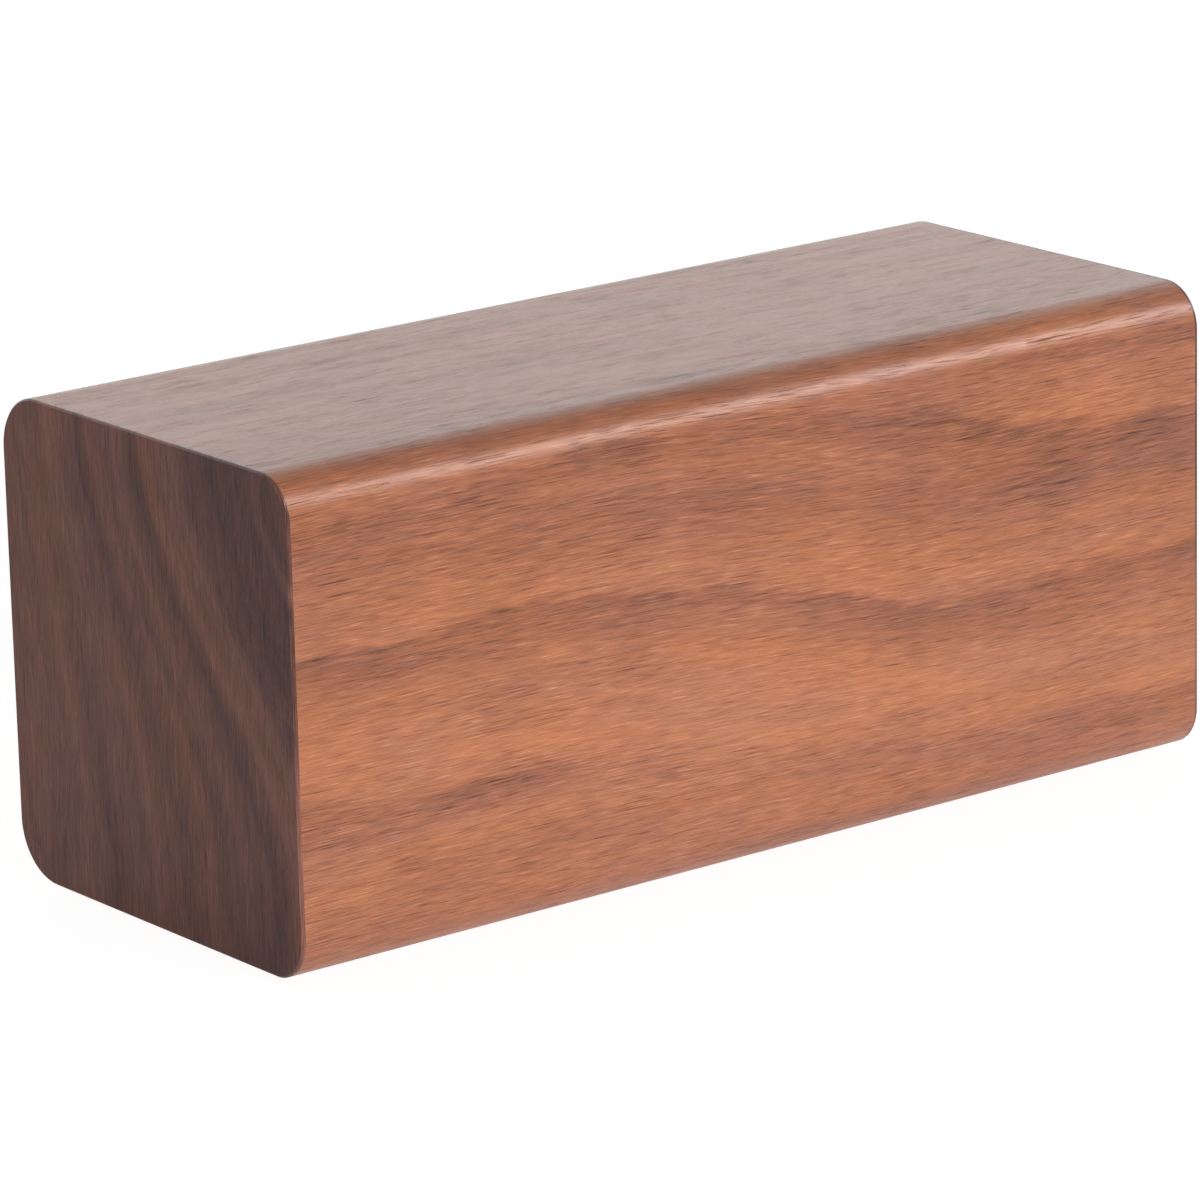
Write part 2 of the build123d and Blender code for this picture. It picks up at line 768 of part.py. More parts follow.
# The door turns on two pins at its rounded front edge, and a sprung tongue at the back snaps it shut.
with BuildPart() as battery_door:
    with BuildSketch(Plane.YZ.offset(-door_length / 2)):
        with Locations((hinge_place, door_axis)):
            Circle(door_thickness / 2)
            Rectangle(
                door_width - door_thickness / 2, door_thickness, align=(Align.MIN, Align.CENTER)
            )
    extrude(amount=door_length)
    with BuildSketch(Plane.YZ.offset(-(door_length / 2 + door_pin_reach))):
        with Locations((hinge_place, door_axis)):
            Circle(door_pin / 2)
    extrude(amount=door_length + 2 * door_pin_reach)
    with BuildSketch(Plane.XY.offset(door_high)):
        with GridLocations(0, cell_pitch, 1, cell_count - 1):
            Rectangle(cavity_length - 2 * door_lap, door_rib_width)
    extrude(amount=door_rib_height)
    with BuildSketch(Plane.XY.offset(door_low)):
        with Locations((0, door_width / 2)):
            with GridLocations(latch_width, 0, 2, 1):
                Rectangle(latch_slit, 2 * latch_length)
    extrude(amount=door_thickness + door_rib_height, mode=Mode.SUBTRACT)
    with BuildSketch(Plane.XY.offset(door_axis - latch_nose_height / 2)):
        with Locations((0, door_width / 2)):
            Rectangle(latch_width - latch_slit, 2 * latch_nose)
    extrude(amount=latch_nose_height)
    with BuildSketch(Plane.XY.offset(door_low)):
        with Locations((0, (door_width - latch_length) / 2)):
            with GridLocations(0, grip_pitch, 1, grip_grooves):
                Rectangle(latch_width - 3 * latch_slit, grip_width)
    extrude(amount=grip_depth, mode=Mode.SUBTRACT)

flat_end = cavity_length / 2 - contact_thickness - spring_length
with BuildPart() as battery_cells:
    for row, way in zip(cell_rows, cell_ways):
        with BuildSketch(Plane.YZ.offset(-way * flat_end)):
            with Locations((row, cell_axis)):
                Circle(cell_diameter / 2)
        extrude(amount=way * cell_length)
    chamfer(battery_cells.edges().filter_by(GeomType.CIRCLE), cell_chamfer)
    for row, way in zip(cell_rows, cell_ways):
        with BuildSketch(Plane.YZ.offset(way * (cell_length - flat_end))):
            with Locations((row, cell_axis)):
                Circle(nub_diameter / 2)
        extrude(amount=way * nub_length)

with BuildPart() as contact_plates:
    for side in (-1, 1):
        with BuildSketch(Plane.YZ.offset(side * cavity_length / 2)):
            with Locations(*[(row, cell_axis) for row in cell_rows]):
                Rectangle(contact_side, contact_side)
        extrude(amount=-side * contact_thickness)


def coil_point(share, row, way):
    """The wire's centre at this share of a spring, which narrows from its contact plate to the cell's flat end."""
    angle = 2 * pi * spring_turns * share
    radius = spring_big + (spring_small - spring_big) * share
    rise = spring_wire / 2 + (spring_length - spring_wire) * share
    foot = cavity_length / 2 - contact_thickness
    return Vector(way * (rise - foot), row + radius * cos(angle), cell_axis + radius * sin(angle))


quarters = 4 * spring_turns
coil_rise = (spring_length - spring_wire) / spring_turns
with BuildPart() as negative_springs:
    for row, way in zip(cell_rows, cell_ways):
        knots = [coil_point(step / quarters, row, way) for step in range(quarters + 1)]
        heading = Vector(way * coil_rise / (2 * pi), 0, spring_big)
        with BuildLine():
            for start, end in zip(knots, knots[1:]):
                turn_of_wire = TangentArc(start, end, tangent=heading)
                heading = turn_of_wire % 1
        with BuildSketch(Plane(origin=knots[0], z_dir=Vector(way * coil_rise / (2 * pi), 0, spring_big))):
            RegularPolygon(spring_wire / 2, wire_sides)
        sweep()
half_turn = quarters // (2 * spring_turns)
turn_gaps = [
    (knots[later] - knots[sooner]).length - spring_wire
    for sooner in range(quarters + 1)
    for later in range(sooner + half_turn, quarters + 1)
]
print("least gap between a spring's turns", round(min(turn_gaps), 2))


def battery_lead(step):
    """A lead from the top of the battery box to the socket on the control board."""
    end_x = battery_socket_place + step * lead_spacing / 2
    start_x = end_x - lead_shift
    socket_face = block_depth / 2 - control_back - battery_socket_height
    route = [
        Vector(start_x, lead_start, tub_top),
        Vector(start_x, lead_start, tub_top + lead_climb),
        Vector(end_x, socket_face - lead_approach, middle),
        Vector(end_x, socket_face, middle),
    ]
    with BuildPart() as lead:
        with BuildLine():
            FilletPolyline(*route, radius=bend_radii(route))
        with BuildSketch(Plane.XY.offset(tub_top)):
            with Locations((route[0].X, route[0].Y)):
                RegularPolygon(lead_diameter / 2, wire_sides)
        sweep()
    return lead


battery_lead_positive = battery_lead(1)
battery_lead_negative = battery_lead(-1)

pieces = {
    "front_board": front_board,
    "back_board": back_board,
    "top_board": top_board,
    "bottom_board": bottom_board,
    "left_end_panel": left_end_panel,
    "right_end_panel": right_end_panel,
    "veneer_wrap": veneer_wrap,
    "left_end_veneer": left_end_veneer,
    "right_end_veneer": right_end_veneer,
    "rubber_feet": rubber_feet,
    "display_diffuser": display_diffuser,
    "light_baffle": light_baffle,
    "display_board": display_board,
    "segment_leds": segment_leds,
    "display_driver_chip": display_driver_chip,
    "display_screws": display_screws,
    "control_panel": control_panel,
    "control_panel_screws": control_panel_screws,
    "control_board": control_board,
    "control_board_screws": control_board_screws,
    "switch_housings": switch_housings,
    "usb_socket_shell": usb_socket_shell,
    "usb_socket_tongue": usb_socket_tongue,
    "alarm_buzzer": alarm_buzzer,
    "sound_sensor": sound_sensor,
    "clock_chip": clock_chip,
    "timing_crystal": timing_crystal,
    "supply_capacitor": supply_capacitor,
    "ribbon_sockets": ribbon_sockets,
    "ribbon_cable": ribbon_cable,
    "battery_socket": battery_socket,
    "battery_box": battery_box,
    "battery_box_screws": battery_box_screws,
    "battery_door": battery_door,
    "battery_cells": battery_cells,
    "contact_plates": contact_plates,
    "negative_springs": negative_springs,
    "battery_lead_positive": battery_lead_positive,
    "battery_lead_negative": battery_lead_negative,
}
pieces |= {f"{name}_button": button for name, button in buttons.items()}
pieces |= {f"{name}_switch_plunger": plunger for name, plunger in plungers.items()}

os.makedirs("parts", exist_ok=True)
for name, piece in pieces.items():
    piece.part.label = name
    export_step(piece.part, f"parts/{name}.step")
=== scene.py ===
import bpy
import numpy as np
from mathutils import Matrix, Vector


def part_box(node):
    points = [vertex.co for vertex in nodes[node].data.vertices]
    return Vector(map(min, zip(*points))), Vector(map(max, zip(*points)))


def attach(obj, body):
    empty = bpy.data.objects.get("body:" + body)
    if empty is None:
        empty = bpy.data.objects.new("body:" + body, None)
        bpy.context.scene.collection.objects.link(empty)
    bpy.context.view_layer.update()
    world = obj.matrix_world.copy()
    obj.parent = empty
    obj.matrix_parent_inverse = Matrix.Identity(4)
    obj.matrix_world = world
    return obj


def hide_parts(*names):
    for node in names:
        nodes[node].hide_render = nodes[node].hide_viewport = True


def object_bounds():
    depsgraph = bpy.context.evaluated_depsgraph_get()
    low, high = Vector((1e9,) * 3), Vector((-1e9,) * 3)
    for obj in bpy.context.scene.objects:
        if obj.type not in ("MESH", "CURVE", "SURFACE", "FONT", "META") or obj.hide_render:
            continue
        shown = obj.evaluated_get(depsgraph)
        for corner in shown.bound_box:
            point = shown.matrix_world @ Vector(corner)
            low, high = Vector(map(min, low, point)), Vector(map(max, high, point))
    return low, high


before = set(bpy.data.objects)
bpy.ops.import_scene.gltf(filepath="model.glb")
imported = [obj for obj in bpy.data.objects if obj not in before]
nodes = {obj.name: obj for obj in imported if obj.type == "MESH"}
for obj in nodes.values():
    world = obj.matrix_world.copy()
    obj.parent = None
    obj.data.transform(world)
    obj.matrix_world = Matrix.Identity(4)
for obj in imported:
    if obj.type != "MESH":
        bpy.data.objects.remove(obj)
cad_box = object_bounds()


# Fibreboard panels of the case.
# Raw medium-density board, sawn and glued into a box. It shows only where the openings for the control panel
# and the battery bay cut through it, as a pale brown edge with short felted fibres.
class Shade:
    """One socket of a node tree. Arithmetic on it adds Math nodes, and node() adds any other kind."""

    def __init__(self, tree, socket=None):
        self.tree = tree
        self.socket = socket

    def node(self, kind, settings=None, sockets=None, output=0):
        """Adds a node, makes its settings, sets or links its sockets, and hands back one of its outputs."""
        added = self.tree.nodes.new(kind)
        for name, value in (settings or {}).items():
            if name == "stops":
                ramp = added.color_ramp
                while len(ramp.elements) < len(value):
                    ramp.elements.new(1.0)
                for element, (place, colour) in zip(ramp.elements, value):
                    element.position = place
                    element.color = (*colour, 1.0)
            elif name == "curve":
                points = added.mapping.curves[0].points
                points[0].location, points[1].location = value[0], value[-1]
                for place in value[1:-1]:
                    points.new(*place)
                added.mapping.update()
            else:
                setattr(added, name, value)
        for key, value in (sockets or {}).items():
            if isinstance(value, Shade):
                self.tree.links.new(value.socket, added.inputs[key])
            else:
                added.inputs[key].default_value = value
        return Shade(self.tree, added.outputs[output])

    def math(self, operation, *values):
        """A Math node over numbers and sockets."""
        return self.node("ShaderNodeMath", {"operation": operation}, dict(enumerate(values)))

    def __add__(self, other):
        return self.math("ADD", self, other)

    __radd__ = __add__

    def __sub__(self, other):
        return self.math("SUBTRACT", self, other)

    def __rsub__(self, other):
        return self.math("SUBTRACT", other, self)

    def __mul__(self, other):
        return self.math("MULTIPLY", self, other)

    __rmul__ = __mul__

    def __truediv__(self, other):
        return self.math("DIVIDE", self, other)

    def __neg__(self):
        return self.math("MULTIPLY", self, -1.0)

    def __abs__(self):
        return self.math("ABSOLUTE", self)

    def step(self, low, high):
        """0 below low, 1 above high, and a smooth rise between them."""
        return self.node(
            "ShaderNodeMapRange", {"interpolation_type": "SMOOTHSTEP"}, {0: self, 1: low, 2: high}
        )

    def noise(self, vector, detail=2.0):
        """Soft noise about 0.5 over a vector."""
        sockets = {"Vector": vector, "Scale": 1.0, "Detail": detail}
        return self.node("ShaderNodeTexNoise", None, sockets)

    def stack(self, x, y, z=0.0):
        """A vector from three values."""
        return self.node("ShaderNodeCombineXYZ", None, {0: x, 1: y, 2: z})

    def mix(self, share, first, second, blend="MIX"):
        """A colour that goes from the first to the second with the share, or is tinted by the second."""
        settings = {"data_type": "RGBA", "blend_type": blend}
        return self.node("ShaderNodeMix", settings, {0: share, 6: first, 7: second}, 2)


def new_finish(name):
    """A material of that name: (material, its tree as a Shade, its main shader)."""
    material = bpy.data.materials.new(name)
    material.use_nodes = True
    tree = material.node_tree
    return material, Shade(tree), tree.nodes["Principled BSDF"]


def feed(shader, **sockets):
    """Links values that vary over the surface to the main shader, and sets the ones that don't."""
    for name, value in sockets.items():
        target = shader.inputs[name.replace("_", " ")]
        if isinstance(value, Shade):
            value.tree.links.new(value.socket, target)
        else:
            target.default_value = value


# Millimetres in one of the frame's metres.
millimetres = 1000.0


def place_mm(shade):
    """The point's x, y and z on the clock, in millimetres."""
    where = shade.node("ShaderNodeTexCoord", None, None, "Object")
    return [shade.node("ShaderNodeSeparateXYZ", None, {0: where}, axis) * millimetres for axis in range(3)]


def dress(finish, *names):
    """Gives CAD nodes one finish."""
    for name in names:
        mesh = nodes[name].data
        mesh.materials.clear()
        mesh.materials.append(finish)


board_finish, shade, shader = new_finish("felted_fibreboard")
x, y, z = place_mm(shade)
fibre = shade.noise(shade.stack(x * 1.1, y * 2.6, z * 2.6), 4.0)
blotch = shade.noise(shade.stack(x * 0.15, y * 0.2, z * 0.2))
board_pale, board_dark = (0.47, 0.34, 0.21, 1.0), (0.27, 0.18, 0.10, 1.0)
feed(
    shader,
    Base_Color=shade.mix((fibre * 0.8 + blotch * 0.4).step(0.45, 0.8), board_pale, board_dark),
    Roughness=fibre * 0.2 + 0.75,
    Normal=shade.node("ShaderNodeBump", None, {"Strength": 0.4, "Distance": 0.0002, "Height": fibre}),
)
dress(
    board_finish,
    "front_board",
    "back_board",
    "top_board",
    "bottom_board",
    "left_end_panel",
    "right_end_panel",
)


# Display, screwed behind the window in the front board.
# A milky diffuser, a white baffle with a well for each bar, and a green circuit board with lamps and a chip.
# It stays dark behind the unbroken veneer, so only its make counts here.
def moulded(name, colour, roughness, grain, depth):
    """Moulded plastic: a colour that drifts a little, and a spark-eroded grain of that pitch in mm."""
    material, shade, shader = new_finish(name)
    x, y, z = place_mm(shade)
    drift = shade.noise(shade.stack(x * 0.06, y * 0.06, z * 0.06), 3.0)
    spark = shade.noise(shade.stack(x / grain, y / grain, z / grain), 2.0)
    deeper = tuple(0.78 * part for part in colour)
    feed(
        shader,
        Base_Color=shade.mix(drift.step(0.3, 0.7), (*colour, 1.0), (*deeper, 1.0)),
        Roughness=spark * 0.16 + drift * 0.1 + (roughness - 0.13),
        Normal=shade.node("ShaderNodeBump", None, {"Strength": depth, "Distance": 0.0001, "Height": spark}),
    )
    return material


def plated(name, colour, roughness, line):
    """Plated or drawn metal: fine lines across it at that pitch in mm, and cloudy wear in its gloss."""
    material, shade, shader = new_finish(name)
    x, y, z = place_mm(shade)
    lines = shade.noise(shade.stack(x / line, y / line, z / (8.0 * line)), 2.0)
    wear = shade.noise(shade.stack(x * 0.5, y * 0.5, z * 0.5), 3.0)
    deeper = tuple(0.7 * part for part in colour)
    feed(
        shader,
        Base_Color=shade.mix((lines * 0.5 + wear * 0.5).step(0.35, 0.7), (*colour, 1.0), (*deeper, 1.0)),
        Metallic=1.0,
        Roughness=lines * 0.12 + wear * 0.12 + (roughness - 0.12),
        Normal=shade.node("ShaderNodeBump", None, {"Strength": 0.15, "Distance": 0.00005, "Height": lines}),
    )
    return material


milky_plastic = moulded("milky_diffuser", (0.82, 0.82, 0.79), roughness=0.5, grain=0.5, depth=0.05)
white_plastic = moulded("white_moulding", (0.80, 0.80, 0.77), roughness=0.45, grain=0.35, depth=0.1)
chip_plastic = moulded("chip_moulding", (0.03, 0.03, 0.032), roughness=0.5, grain=0.2, depth=0.15)
zinc_steel = plated("zinc_plated_steel", (0.60, 0.60, 0.58), roughness=0.32, line=0.25)
can_metal = plated("drawn_can", (0.70, 0.70, 0.71), roughness=0.3, line=0.3)

circuit_finish, shade, shader = new_finish("solder_mask")
x, y, z = place_mm(shade)
weave = shade.noise(shade.stack(x * 3.0, y * 3.0, z * 3.0))
tracks = abs(shade.noise(shade.stack(x * 0.22, y * 0.22, z * 0.9), 1.0) - 0.5).step(0.02, 0.03)
mask_on_track, mask_beside = (0.03, 0.22, 0.08, 1.0), (0.012, 0.12, 0.045, 1.0)
feed(
    shader,
    Base_Color=shade.mix(tracks, mask_on_track, mask_beside),
    Roughness=weave * 0.15 + 0.28,
)

lamp_finish, shade, shader = new_finish("lamp_resin")
x, y, z = place_mm(shade)
cloud = shade.noise(shade.stack(x * 2.0, y * 2.0, z * 2.0))
resin_pale, resin_deep = (0.9, 0.88, 0.7, 1.0), (0.8, 0.7, 0.3, 1.0)
feed(shader, Base_Color=shade.mix(cloud, resin_pale, resin_deep), Roughness=cloud * 0.2 + 0.1)

dress(milky_plastic, "display_diffuser")
dress(white_plastic, "light_baffle", "ribbon_sockets", "battery_socket")
dress(circuit_finish, "display_board", "control_board")
dress(lamp_finish, "segment_leds")
dress(chip_plastic, "display_driver_chip", "clock_chip", "switch_housings")
dress(chip_plastic, "usb_socket_tongue", "alarm_buzzer")
dress(zinc_steel, "display_screws", "control_board_screws")
dress(can_metal, "sound_sensor", "timing_crystal", "supply_capacitor")

# Wiring inside the case.
# A flat grey ribbon joins the two circuit boards, and a red and a black lead come up from the battery box.
# Nothing of it shows from outside.
ribbon_jacket = moulded("ribbon_jacket", (0.50, 0.51, 0.52), roughness=0.5, grain=0.4, depth=0.1)
red_lead = moulded("red_lead", (0.55, 0.03, 0.02), roughness=0.4, grain=0.3, depth=0.05)
black_lead = moulded("black_lead", (0.02, 0.02, 0.02), roughness=0.4, grain=0.3, depth=0.05)
dress(ribbon_jacket, "ribbon_cable")
dress(red_lead, "battery_lead_positive")
dress(black_lead, "battery_lead_negative")

# Walnut veneer round the block.
# A thin sheet pressed round the four sides, its grain along the length, bent over the rounded long edges and
# finished with satin lacquer. It is cut out for the rear panel and the battery bay.
wrap_low, wrap_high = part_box("veneer_wrap")
front_radius, back_radius = 0.0064, 0.0082
veneer = 0.0006
panel_radius, bay_radius = 0.0040, 0.0030
middle = (wrap_low.z + wrap_high.z) / 2

# The flat strip beyond a bend, and the play round an opening.
landing = 0.0010
slip = 0.00015

# Lines of the mesh: points on a bend and on an opening's corner, lines along the length, the places of the
# lines on a flat part and round an opening, and the sharpest angle that is shaded smooth, in degrees.
bend_points, corner_points, length_lines = 21, 13, 9
flat_shares = (0.02, 0.5, 0.98)
ring_shares = (0.0, 0.1, 1.0)
crease = 35.0

# Where each sheet of veneer starts on the grain, so that no two show the same stretch.
lower_back_grain, back_grain, bottom_grain = 0.300, 0.400, 0.500


def bend(side, rise, start, end):
    """A long edge in section: a quarter circle at the front (-1) or back (1), below (-1) or above (1)."""
    radius = front_radius if side < 0 else back_radius
    angle = np.radians(np.linspace(start, end, bend_points))
    outward = np.stack([np.cos(angle), np.sin(angle)], 1)
    height = (wrap_high.z - wrap_low.z) / 2 - radius
    centre = np.array([side * (wrap_high.y - radius), middle + rise * height])
    return centre + radius * outward, outward


def run(first, last):
    """The straight part between two bends, with a line close to each one to keep its shading flat."""
    share = np.array(flat_shares)[:, None]
    points = first[0][-1] * (1 - share) + last[0][0] * share
    return points, np.repeat(first[1][-1:], len(share), axis=0)


def hem(part, end, shift):
    """The sheet's last line, on the flat beside the first (0) or last (-1) line of a bend."""
    return (part[0][end] + shift)[None], part[1][end][None]


def carried(parts, grain_start):
    """A section carried along the block's length. The grain map holds x and the length along the section."""
    points, outward = (np.concatenate(rows) for rows in zip(*parts))
    across = np.concatenate([[0.0], np.cumsum(np.linalg.norm(np.diff(points, axis=0), axis=1))]) + grain_start
    x = np.linspace(wrap_low.x, wrap_high.x, length_lines)
    sheet, lift = np.zeros((2, len(points), len(x), 3))
    sheet[..., 0] = x
    sheet[..., 1:] = points[:, None]
    lift[..., 1:] = outward[:, None]
    return sheet, lift, np.stack(np.broadcast_arrays(x, across[:, None]), -1), False


def holed(half, hole, radius, place, outward, grain_start):
    """A flat sheet with a rounded hole: a ring of lines from each point of the hole to the sheet's border.

    On a corner's arc the border point runs out along one side to the corner and along the next one after it,
    by the tangent and the cotangent of the arc's angle.
    """
    quarter = np.radians(np.linspace(0.0, 90.0, corner_points))
    angle = np.concatenate([quarter + turn * np.pi / 2 for turn in range(4)])
    sign = np.array([(1, 1), (-1, 1), (-1, -1), (1, -1)]).repeat(len(quarter), 0)
    centre = np.array(hole) - radius
    circle = np.stack([np.cos(angle), np.sin(angle)], 1)
    steep = np.abs(circle) / np.abs(circle).max(1, keepdims=True)
    border = sign * (centre + steep * (np.array(half) - centre))
    ring = sign * centre + radius * circle
    lines = np.stack([ring * (1 - share) + border * share for share in ring_shares])
    u, v = np.moveaxis(lines, -1, 0)
    sheet = place(u, v)
    grain = np.stack([sheet[..., 0], v + grain_start], -1)
    return sheet, np.broadcast_to(np.array(outward, dtype=float), sheet.shape), grain, True


def sheets_mesh(name, patches, thickness):
    """One mesh of closed sheets: each patch is a grid of points, doubled inwards by the thickness and rimmed.

    The outer and inner faces join neighbours of the grid, and the rim joins the two along each open border.
    """
    verts, faces, grains = [], [], []
    count = 0
    for points, outward, grain, ring in patches:
        rows, columns = points.shape[:2]
        index = np.arange(rows * columns).reshape(rows, columns)
        if ring:
            index = np.concatenate([index, index[:, :1]], 1)
        low, high = index + count, index + count + rows * columns
        outer = np.stack([low[:-1, :-1], low[:-1, 1:], low[1:, 1:], low[1:, :-1]], -1)
        inner = np.stack([high[:-1, :-1], high[1:, :-1], high[1:, 1:], high[:-1, 1:]], -1)
        faces += [outer.reshape(-1, 4), inner.reshape(-1, 4)]
        rims = [(low[0], high[0]), (low[-1, ::-1], high[-1, ::-1])]
        if not ring:
            rims += [(low[::-1, 0], high[::-1, 0]), (low[:, -1], high[:, -1])]
        faces += [np.stack([edge[:-1], back[:-1], back[1:], edge[1:]], -1) for edge, back in rims]
        verts += [points.reshape(-1, 3), (points - thickness * outward).reshape(-1, 3)]
        grains += [grain.reshape(-1, 2)] * 2
        count += 2 * rows * columns
    mesh = bpy.data.meshes.new(name)
    mesh.from_pydata(np.concatenate(verts), [], np.concatenate(faces))
    corners = np.empty(len(mesh.loops), dtype=np.int32)
    mesh.loops.foreach_get("vertex_index", corners)
    mesh.uv_layers.new(name="grain").data.foreach_set("uv", np.concatenate(grains)[corners].ravel())
    mesh.polygons.foreach_set("use_smooth", np.ones(len(mesh.polygons), dtype=bool))
    mesh.set_sharp_from_angle(angle=np.radians(crease))
    piece = bpy.data.objects.new(name, mesh)
    bpy.context.collection.objects.link(piece)
    return piece


front_foot, front_brow = bend(-1, -1, 270, 180), bend(-1, 1, 180, 90)
back_brow, back_foot = bend(1, 1, 90, 0), bend(1, -1, 0, -90)
bottom_half = back_foot[0][-1][0] - landing
back_half = back_brow[0][-1][1] - landing - middle
front_hem = -bottom_half - front_foot[0][0][0]
front_and_top = carried(
    [
        hem(front_foot, 0, (front_hem, 0)),
        front_foot,
        run(front_foot, front_brow),
        front_brow,
        run(front_brow, back_brow),
        back_brow,
        hem(back_brow, -1, (0, -landing)),
    ],
    front_radius - front_radius * np.pi / 2 - front_hem,
)
lower_back = carried(
    [
        hem(back_foot, 0, (0, landing)),
        back_foot,
        hem(back_foot, -1, (-landing, 0)),
    ],
    lower_back_grain,
)
panel_low, panel_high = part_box("control_panel")
back_sheet = holed(
    (wrap_high.x, back_half),
    (panel_high.x + slip, (panel_high.z - panel_low.z) / 2 + slip),
    panel_radius + slip,
    lambda u, v: np.stack([-u, np.full_like(u, wrap_high.y), v + middle], -1),
    (0, 1, 0),
    back_grain,
)
bay_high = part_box("battery_box")[1]
bottom_sheet = holed(
    (wrap_high.x, bottom_half),
    (bay_high.x + slip, bay_high.y + slip),
    bay_radius + slip,
    lambda u, v: np.stack([u, -v, np.full_like(u, wrap_low.z)], -1),
    (0, 0, -1),
    bottom_grain,
)
wrap = sheets_mesh("walnut_wrap", [front_and_top, lower_back, back_sheet, bottom_sheet], veneer)

base_darkness = 0.24
dusk_tint, pore_tint, fleck_tint = (0.93, 0.97, 1.12, 1.0), (0.40, 0.34, 0.33, 1.0), (1.28, 1.5, 1.75, 1.0)


def veneer_finish(shade, shader, along, across, level, line, darker, palette):
    """Lacquered walnut: streaks that follow a level across the grain, then pores and flecks along its lines.

    Darkness is a base, plus each noise about its mean, plus the growth streaks and any painted shade given; a
    ramp turns it into colour, which a slow noise tints. Pores are short thin dashes, stronger where the wood
    is dark, and flecks are pale ones.
    """
    broad = shade.noise(shade.stack(along * 0.012, level * 0.09, 3.1), 3.0)
    middling = shade.noise(shade.stack(along * 0.03, level * 0.36, 7.7), 3.0)
    fine = shade.noise(shade.stack(along * 0.12, line * 1.3, 1.3), 3.0)
    hair = shade.noise(shade.stack(along * 0.20, line * 5.0, 5.9), 3.0)
    figure = shade.noise(shade.stack(along * 0.085, across * 0.016, 2.4), 2.0)
    darkness = darker + base_darkness
    for streaks, weight in ((broad, 0.42), (middling, 0.28), (fine, 0.34), (hair, 1.3), (figure, 0.36)):
        darkness = (streaks - 0.5) * weight + darkness
    wood = shade.node("ShaderNodeValToRGB", {"stops": palette}, {0: darkness})
    dusk = shade.noise(shade.stack(along * 0.03, level * 0.13, 31.0), 2.0).step(0.35, 0.65)
    wood = shade.mix(dusk, wood, dusk_tint, "MULTIPLY")
    long_dash = shade.noise(shade.stack(along * 0.12, line * 5.6, 11.3), 1.0).step(0.60, 0.69)
    short_dash = shade.noise(shade.stack(along * 0.24, line * 6.4, 23.7), 1.0).step(0.60, 0.69)
    pores = (long_dash + short_dash) * (darkness * 0.9 + middling * 0.9 - 0.12)
    flecks = shade.noise(shade.stack(along * 0.22, line * 5.8, 17.9), 1.0).step(0.61, 0.70)
    colour = shade.mix(pores * 0.72, wood, pore_tint, "MULTIPLY")
    colour = shade.mix(flecks * 0.9, colour, fleck_tint, "MULTIPLY")
    feed(
        shader,
        Base_Color=colour,
        Roughness=(middling - 0.5) * 0.10 + pores * 0.25 + 0.27,
        Normal=shade.node(
            "ShaderNodeBump", None, {"Strength": 0.2, "Distance": 0.0001, "Height": hair * 0.4 - pores * 0.6}
        ),
    )


walnut, shade, shader = new_finish("satin_walnut")
grain = shade.node("ShaderNodeUVMap", {"uv_map": "grain"})
along = shade.node("ShaderNodeSeparateXYZ", None, {0: grain}, 0) * millimetres
across = shade.node("ShaderNodeSeparateXYZ", None, {0: grain}, 1) * millimetres
wobble = shade.noise(shade.stack(along * 0.02, across * 0.05, 9.2), 2.0) - 0.5
feather = shade.noise(shade.stack(along * 0.10, across * 1.1, 4.4), 3.0) - 0.5
fall = across.step(4.0, 22.0) * (1.0 - across.step(66.0, 90.0)) * 11.0
sag = along.step(-40.0, 50.0) * fall
level = across + sag + wobble * 5.0
grain_line = across + sag * 0.3 + wobble * 1.2

